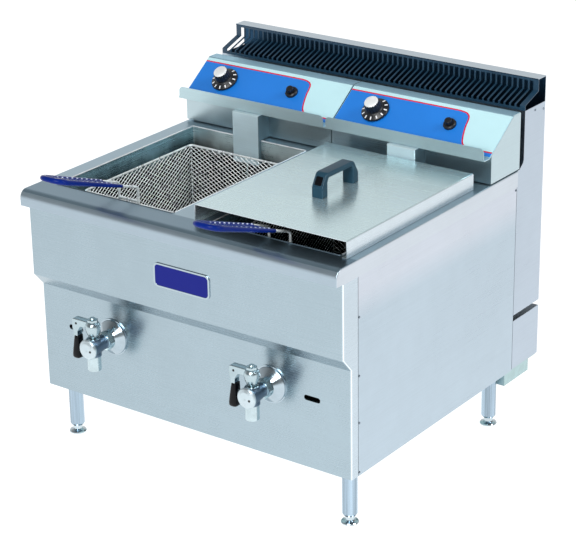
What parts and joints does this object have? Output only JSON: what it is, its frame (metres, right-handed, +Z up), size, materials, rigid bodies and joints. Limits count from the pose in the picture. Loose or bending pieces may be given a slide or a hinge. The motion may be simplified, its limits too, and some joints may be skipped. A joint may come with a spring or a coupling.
{
  "type": "gas deep fryer",
  "caption": "Countertop gas deep fryer with twin oil tanks, wire baskets, lift-off lid, drain taps, sloping thermostat fascias and a slotted flue grille at the back.",
  "frame": {"origin": "on the floor under the middle of the bounding box", "axes": "+X to the operator's right, +Z up, the front with the taps faces -Y"},
  "size_m": [0.64, 0.7726, 0.614],
  "materials": {
    "stainless": "brushed stainless sheet",
    "galvanised": "galvanised sheet",
    "chrome": "bright plating",
    "basket_wire": "plated wire mesh",
    "black_plastic": "moulded, satin",
    "blue_grip": "moulded, glossy",
    "label": "printed film",
    "badge": "plain enamelled plate",
    "black_paint": "black stove enamel",
    "iron": "as cast",
    "gas_alloy": "die cast",
    "pipe": "drawn pipe"
  },
  "bodies": {
    "body": {"badge_plate": "badge", "base_pan": "galvanised", "deck": "stainless", "flue_column": "stainless", "flue_grille": "black_paint", "flue_rear_panel": "stainless", "front_panel": "stainless", "gas_feed_pipes": "pipe", "gas_manifold": "pipe", "igniter_bodies": "black_plastic", "left_burner": "iron", "left_control_box": "stainless", "left_fascia": "stainless", "left_fire_box": "galvanised", "left_gas_valve": "gas_alloy", "left_label_film": "label", "left_probe_guard": "stainless", "left_side_panel": "stainless", "left_tank": "stainless", "left_tap_body": "chrome", "left_tap_escutcheon": "chrome", "leg_sleeves": "stainless", "panel_screws": "stainless", "pilot_burners": "iron", "rear_base_channel": "galvanised", "rear_service_cover": "stainless", "rest_racks": "stainless", "right_burner": "iron", "right_control_box": "stainless", "right_fascia": "stainless", "right_fire_box": "galvanised", "right_gas_valve": "gas_alloy", "right_label_film": "label", "right_probe_guard": "stainless", "right_side_panel": "stainless", "right_tank": "stainless", "right_tap_body": "chrome", "right_tap_escutcheon": "chrome", "tap_caps": "chrome", "temperature_probes": "stainless"},
    "left_basket": {"left_basket": "basket_wire", "left_basket_frame": "basket_wire", "left_basket_grip": "blue_grip"},
    "right_basket": {"right_basket": "basket_wire", "right_basket_frame": "basket_wire", "right_basket_grip": "blue_grip"},
    "lid": {"lid": "stainless", "lid_handle": "black_plastic"},
    "left_tap": {"left_tap_lever": "chrome", "left_tap_grip": "black_plastic"},
    "right_tap": {"right_tap_lever": "chrome", "right_tap_grip": "black_plastic"},
    "left_knob": {"left_knob": "black_plastic"},
    "right_knob": {"right_knob": "black_plastic"},
    "left_button": {"left_igniter_button": "black_plastic"},
    "right_button": {"right_igniter_button": "black_plastic"},
    "front_left_foot": {"front_left_foot": "chrome"},
    "front_right_foot": {"front_right_foot": "chrome"},
    "rear_left_foot": {"rear_left_foot": "chrome"},
    "rear_right_foot": {"rear_right_foot": "chrome"}
  },
  "joints": [
    {"name": "left_basket_lift", "type": "slide", "parent": "body", "child": "left_basket", "axis": [0, 0, 1], "range_m": [0, 0.2]},
    {"name": "right_basket_lift", "type": "slide", "parent": "body", "child": "right_basket", "axis": [0, 0, 1], "range_m": [0, 0.2]},
    {"name": "lid_lift", "type": "slide", "parent": "right_basket", "child": "lid", "axis": [0, 0, 1], "range_m": [0, 0.15]},
    {"name": "left_tap_turn", "type": "hinge", "parent": "body", "child": "left_tap", "pos_m": [-0.164, -0.27169, 0.262], "axis": [0, 0, 1], "range_deg": [0, 90]},
    {"name": "right_tap_turn", "type": "hinge", "parent": "body", "child": "right_tap", "pos_m": [0.164, -0.27169, 0.262], "axis": [0, 0, 1], "range_deg": [0, 90]},
    {"name": "left_knob_turn", "type": "hinge", "parent": "body", "child": "left_knob", "pos_m": [-0.254, 0.21167, 0.55336], "axis": [0, -0.5736, 0.8192], "range_deg": [0, 270]},
    {"name": "right_knob_turn", "type": "hinge", "parent": "body", "child": "right_knob", "pos_m": [0.0705, 0.21167, 0.55336], "axis": [0, -0.5736, 0.8192], "range_deg": [0, 270]},
    {"name": "left_button_press", "type": "slide", "parent": "body", "child": "left_button", "axis": [0, 0.5736, -0.8192], "range_m": [0, 0.006], "stiffness_N_per_m": 300},
    {"name": "right_button_press", "type": "slide", "parent": "body", "child": "right_button", "axis": [0, 0.5736, -0.8192], "range_m": [0, 0.006], "stiffness_N_per_m": 300},
    {"name": "front_left_foot_adjust", "type": "slide", "parent": "body", "child": "front_left_foot", "axis": [0, 0, -1], "range_m": [0, 0.02]},
    {"name": "front_right_foot_adjust", "type": "slide", "parent": "body", "child": "front_right_foot", "axis": [0, 0, -1], "range_m": [0, 0.02]},
    {"name": "rear_left_foot_adjust", "type": "slide", "parent": "body", "child": "rear_left_foot", "axis": [0, 0, -1], "range_m": [0, 0.02]},
    {"name": "rear_right_foot_adjust", "type": "slide", "parent": "body", "child": "rear_right_foot", "axis": [0, 0, -1], "range_m": [0, 0.02]}
  ]
}
